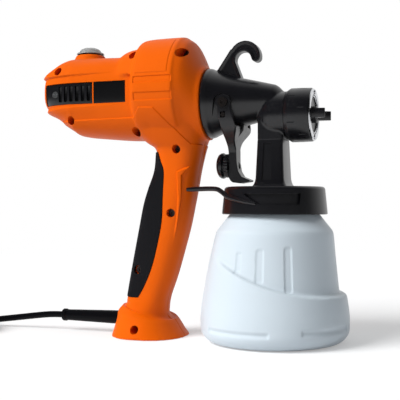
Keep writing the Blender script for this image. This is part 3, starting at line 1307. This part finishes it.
place_piece("cap_nut", nut, ["nozzle_nut"], sharp=30.0)

# %% Air cap
tip_hole_r, horn_half, horn_round = 2.9, 4.0, 0.6
cap_profile = [(tip_hole_r, 34.6), (tip_hole_r, 38.2), (3.6, 38.6), (6.2, 38.4), (7.2, 37.4), (7.2, 33.0), (16.2, 33.9),
               (16.6, 34.9), (cap_r, 34.9), (cap_r, 32.0), (19.9, 32.0), (19.9, 28.4), (16, 28.4), (16, 30.4),
               (6, 31.6)]
horn_outline = [(33, 8.6), (33, 16.6), (36, 16.5), (45.6, 15.7), (46.9, 14.9), (47.1, 13.9), (44.2, 12.2), (39.5, 10.2)]
cap = spun_x(closed(cap_profile), nozzle_z)
for side in SIDES:
    horn = bmesh.new()
    horn_face = horn.faces.new([horn.verts.new((x, side * y, nozzle_z - horn_half)) for x, y in horn_outline])
    thicken(horn, [horn_face], (0, 0, 2 * horn_half))
    bevelled(horn, horn.edges[:], horn_round)
    cap = joined(cap, horn)
place_piece("fan_cap", cap, ["air_cap"], sharp=32.0)

# %% Bright face ring and its screws
ring_x0, ring_x1, ring_outer, ring_inner, gate_half = 34.25, 35.5, 22.3, 16.9, 4.15
ring_profile = [(ring_inner + 0.6, ring_x0), (ring_outer - 0.2, ring_x0), (ring_outer, ring_x0 + 0.25),
                (ring_outer, ring_x1 - 0.35), (ring_outer - 0.35, ring_x1), (ring_inner + 0.9, ring_x1),
                (ring_inner + 0.5, ring_x1 - 0.4)]
lip_profile = [(15.5, 33.9), (16.3, 33.95), (16.3, 35.0), (15.9, 35.1), (15.5, 34.7)]
screw_profile = [(0, -0.4), (1.9, -0.4), (1.9, 0.5), (1.4, 0.9), (0, 0.9)]
screw_out, screw_slot_half, screw_slot_x, gate_in, gate_out = 19.4, 0.3, 0.45, 7.5, 17.0
face = spun_x(closed(ring_profile), nozzle_z, 128)
spun_x(closed(lip_profile), nozzle_z, bm=face)
horn_gate, screws, screw_slots = bmesh.new(), bmesh.new(), bmesh.new()
for side in SIDES:
    y0, y1 = sorted((side * gate_in, side * gate_out))
    block((30, y0, nozzle_z - gate_half), (40, y1, nozzle_z + gate_half), bm=horn_gate)
    screw_z = nozzle_z + side * screw_out
    spun_x([(r, ring_x1 + ahead) for r, ahead in screw_profile], screw_z, 32, screws)
    block((ring_x1 + screw_slot_x, -3, screw_z - screw_slot_half), (ring_x1 + 2, 3, screw_z + screw_slot_half),
          bm=screw_slots)
place_piece("bright_face", cut(face, horn_gate), ["face_ring"], sharp=30.0)
place_piece("ring_screws", cut(screws, screw_slots), ["face_screws"], sharp=30.0)

# %% [markdown]
# ## Floor, backdrop and light
# The sprayer stands on a white sheet in a bright studio, with a broad lamp high on the left. A lit sheet never renders
# pure white, so part of what the camera sees of it is its own even white, more of it further out, and the rest keeps
# the soft shadow. The sky is white where the camera or glass looks at it. For gloss it is bright behind the sprayer
# and dim on the camera's side and far left. As a lamp it is weak and comes mostly from the upper left.

# %% Stage helpers
WHITE = (1.0, 1.0, 1.0, 1.0)


def mix_shaders(tree, share, first, second):
    mix = add_node(tree, "MixShader", Fac=share)
    feed(tree, mix.inputs[1], first.outputs[0])
    feed(tree, mix.inputs[2], second.outputs[0])
    return mix


def tone_ramp(tree, tilt, scale, low, high, start=0.0, end=1.0):
    share = math_node(tree, "ADD", math_node(tree, "MULTIPLY", tilt, scale), 0.5)
    ramp = add_node(tree, "ValToRGB", Fac=share)
    for stop, colour, place in zip(ramp.color_ramp.elements, (low, high), (start, end)):
        stop.color = (*colour, 1.0)
        stop.position = place
    return ramp.outputs["Color"]


# %% Floor
floor_half, floor_drop = 6.0, 0.0003
floor_bm = bmesh.new()
bmesh.ops.create_grid(floor_bm, x_segments=1, y_segments=1, size=floor_half)
floor_mesh = bpy.data.meshes.new("studio_floor")
floor_bm.to_mesh(floor_mesh)
floor_bm.free()
floor = add_object("studio_floor", floor_mesh)
floor.location.z = -floor_drop
paper = bpy.data.materials.new("studio_paper")
paper.use_nodes = True
sheet = paper.node_tree
lit_paper = sheet.nodes["Principled BSDF"]
feed_all(sheet, lit_paper, dict(Base_Color=WHITE, Roughness=0.85, Specular_IOR_Level=0.1))
paper_place = add_node(sheet, "TexCoord").outputs["Object"]
paper_far = add_node(sheet, "VectorMath", {"operation": "LENGTH"}, Vector=paper_place).outputs["Value"]
paper_fade = add_node(sheet, "MapRange", {"interpolation_type": "SMOOTHSTEP"}, Value=paper_far, From_Min=0.42,
                      From_Max=1.5, To_Min=0.35, To_Max=1.0)
seen_paper = mix_shaders(sheet, paper_fade.outputs["Result"], lit_paper, add_node(sheet, "Emission", Color=WHITE))
paper_rays = add_node(sheet, "LightPath").outputs
paper_seen = math_node(sheet, "MAXIMUM", paper_rays["Is Camera Ray"], paper_rays["Is Glossy Ray"])
dull_paper = add_node(sheet, "BsdfDiffuse", Color=(0.84, 0.84, 0.85, 1.0))
feed(sheet, sheet.nodes["Material Output"].inputs["Surface"],
     mix_shaders(sheet, paper_seen, dull_paper, seen_paper).outputs[0])
floor_mesh.materials.append(paper)
print("floor ready")

# %% Sky
world = bpy.data.worlds.new("studio_sky")
scene.world = world
world.use_nodes = True
sky = world.node_tree
sky.nodes.clear()
sky_place = add_node(sky, "TexCoord").outputs["Generated"]
sky_parts = add_node(sky, "SeparateXYZ", Vector=sky_place).outputs
fill_tilt = math_node(sky, "SUBTRACT", math_node(sky, "MULTIPLY", sky_parts["Z"], 0.4), sky_parts["X"])
sky_fill = tone_ramp(sky, fill_tilt, 0.45, (0.06, 0.06, 0.065), (0.51, 0.52, 0.53))
gloss_tilt = math_node(sky, "ADD", math_node(sky, "MULTIPLY", sky_parts["Z"], 0.45),
                       math_node(sky, "MULTIPLY", sky_parts["Y"], 0.9))
sky_gloss = tone_ramp(sky, gloss_tilt, 0.5, (0.02, 0.02, 0.025), WHITE[:3], 0.56, 0.88)
right_share = math_node(sky, "MULTIPLY", math_node(sky, "ADD", sky_parts["X"], 0.65), 3.0)
right_share = math_node(sky, "MAXIMUM", math_node(sky, "MINIMUM", right_share, 1.0), 0.04)
sky_gloss = math_node(sky, "MULTIPLY", sky_gloss, right_share)
rays = add_node(sky, "LightPath").outputs
lamp_sky, gloss_sky, seen_sky = (add_node(sky, "Background", Color=colour) for colour in (sky_fill, sky_gloss, WHITE))
unseen_sky = mix_shaders(sky, rays["Is Glossy Ray"], lamp_sky, gloss_sky)
sky_seen = math_node(sky, "MAXIMUM", rays["Is Camera Ray"], rays["Is Transmission Ray"])
add_node(sky, "OutputWorld", Surface=mix_shaders(sky, sky_seen, unseen_sky, seen_sky).outputs[0])
print("sky ready")

# %% Lamp
key_lamp = bpy.data.lights.new("key_lamp", "SUN")
key_lamp.energy = 3.75
key_lamp.angle = math.radians(36.0)
key = add_object("key_lamp", key_lamp)
key.visible_glossy = False
key.rotation_euler = Vector((0.56, 0.57, -0.61)).to_track_quat("-Z", "Y").to_euler()
print("lamp ready")

# %% Sizes and hand-over
print("boxes written")
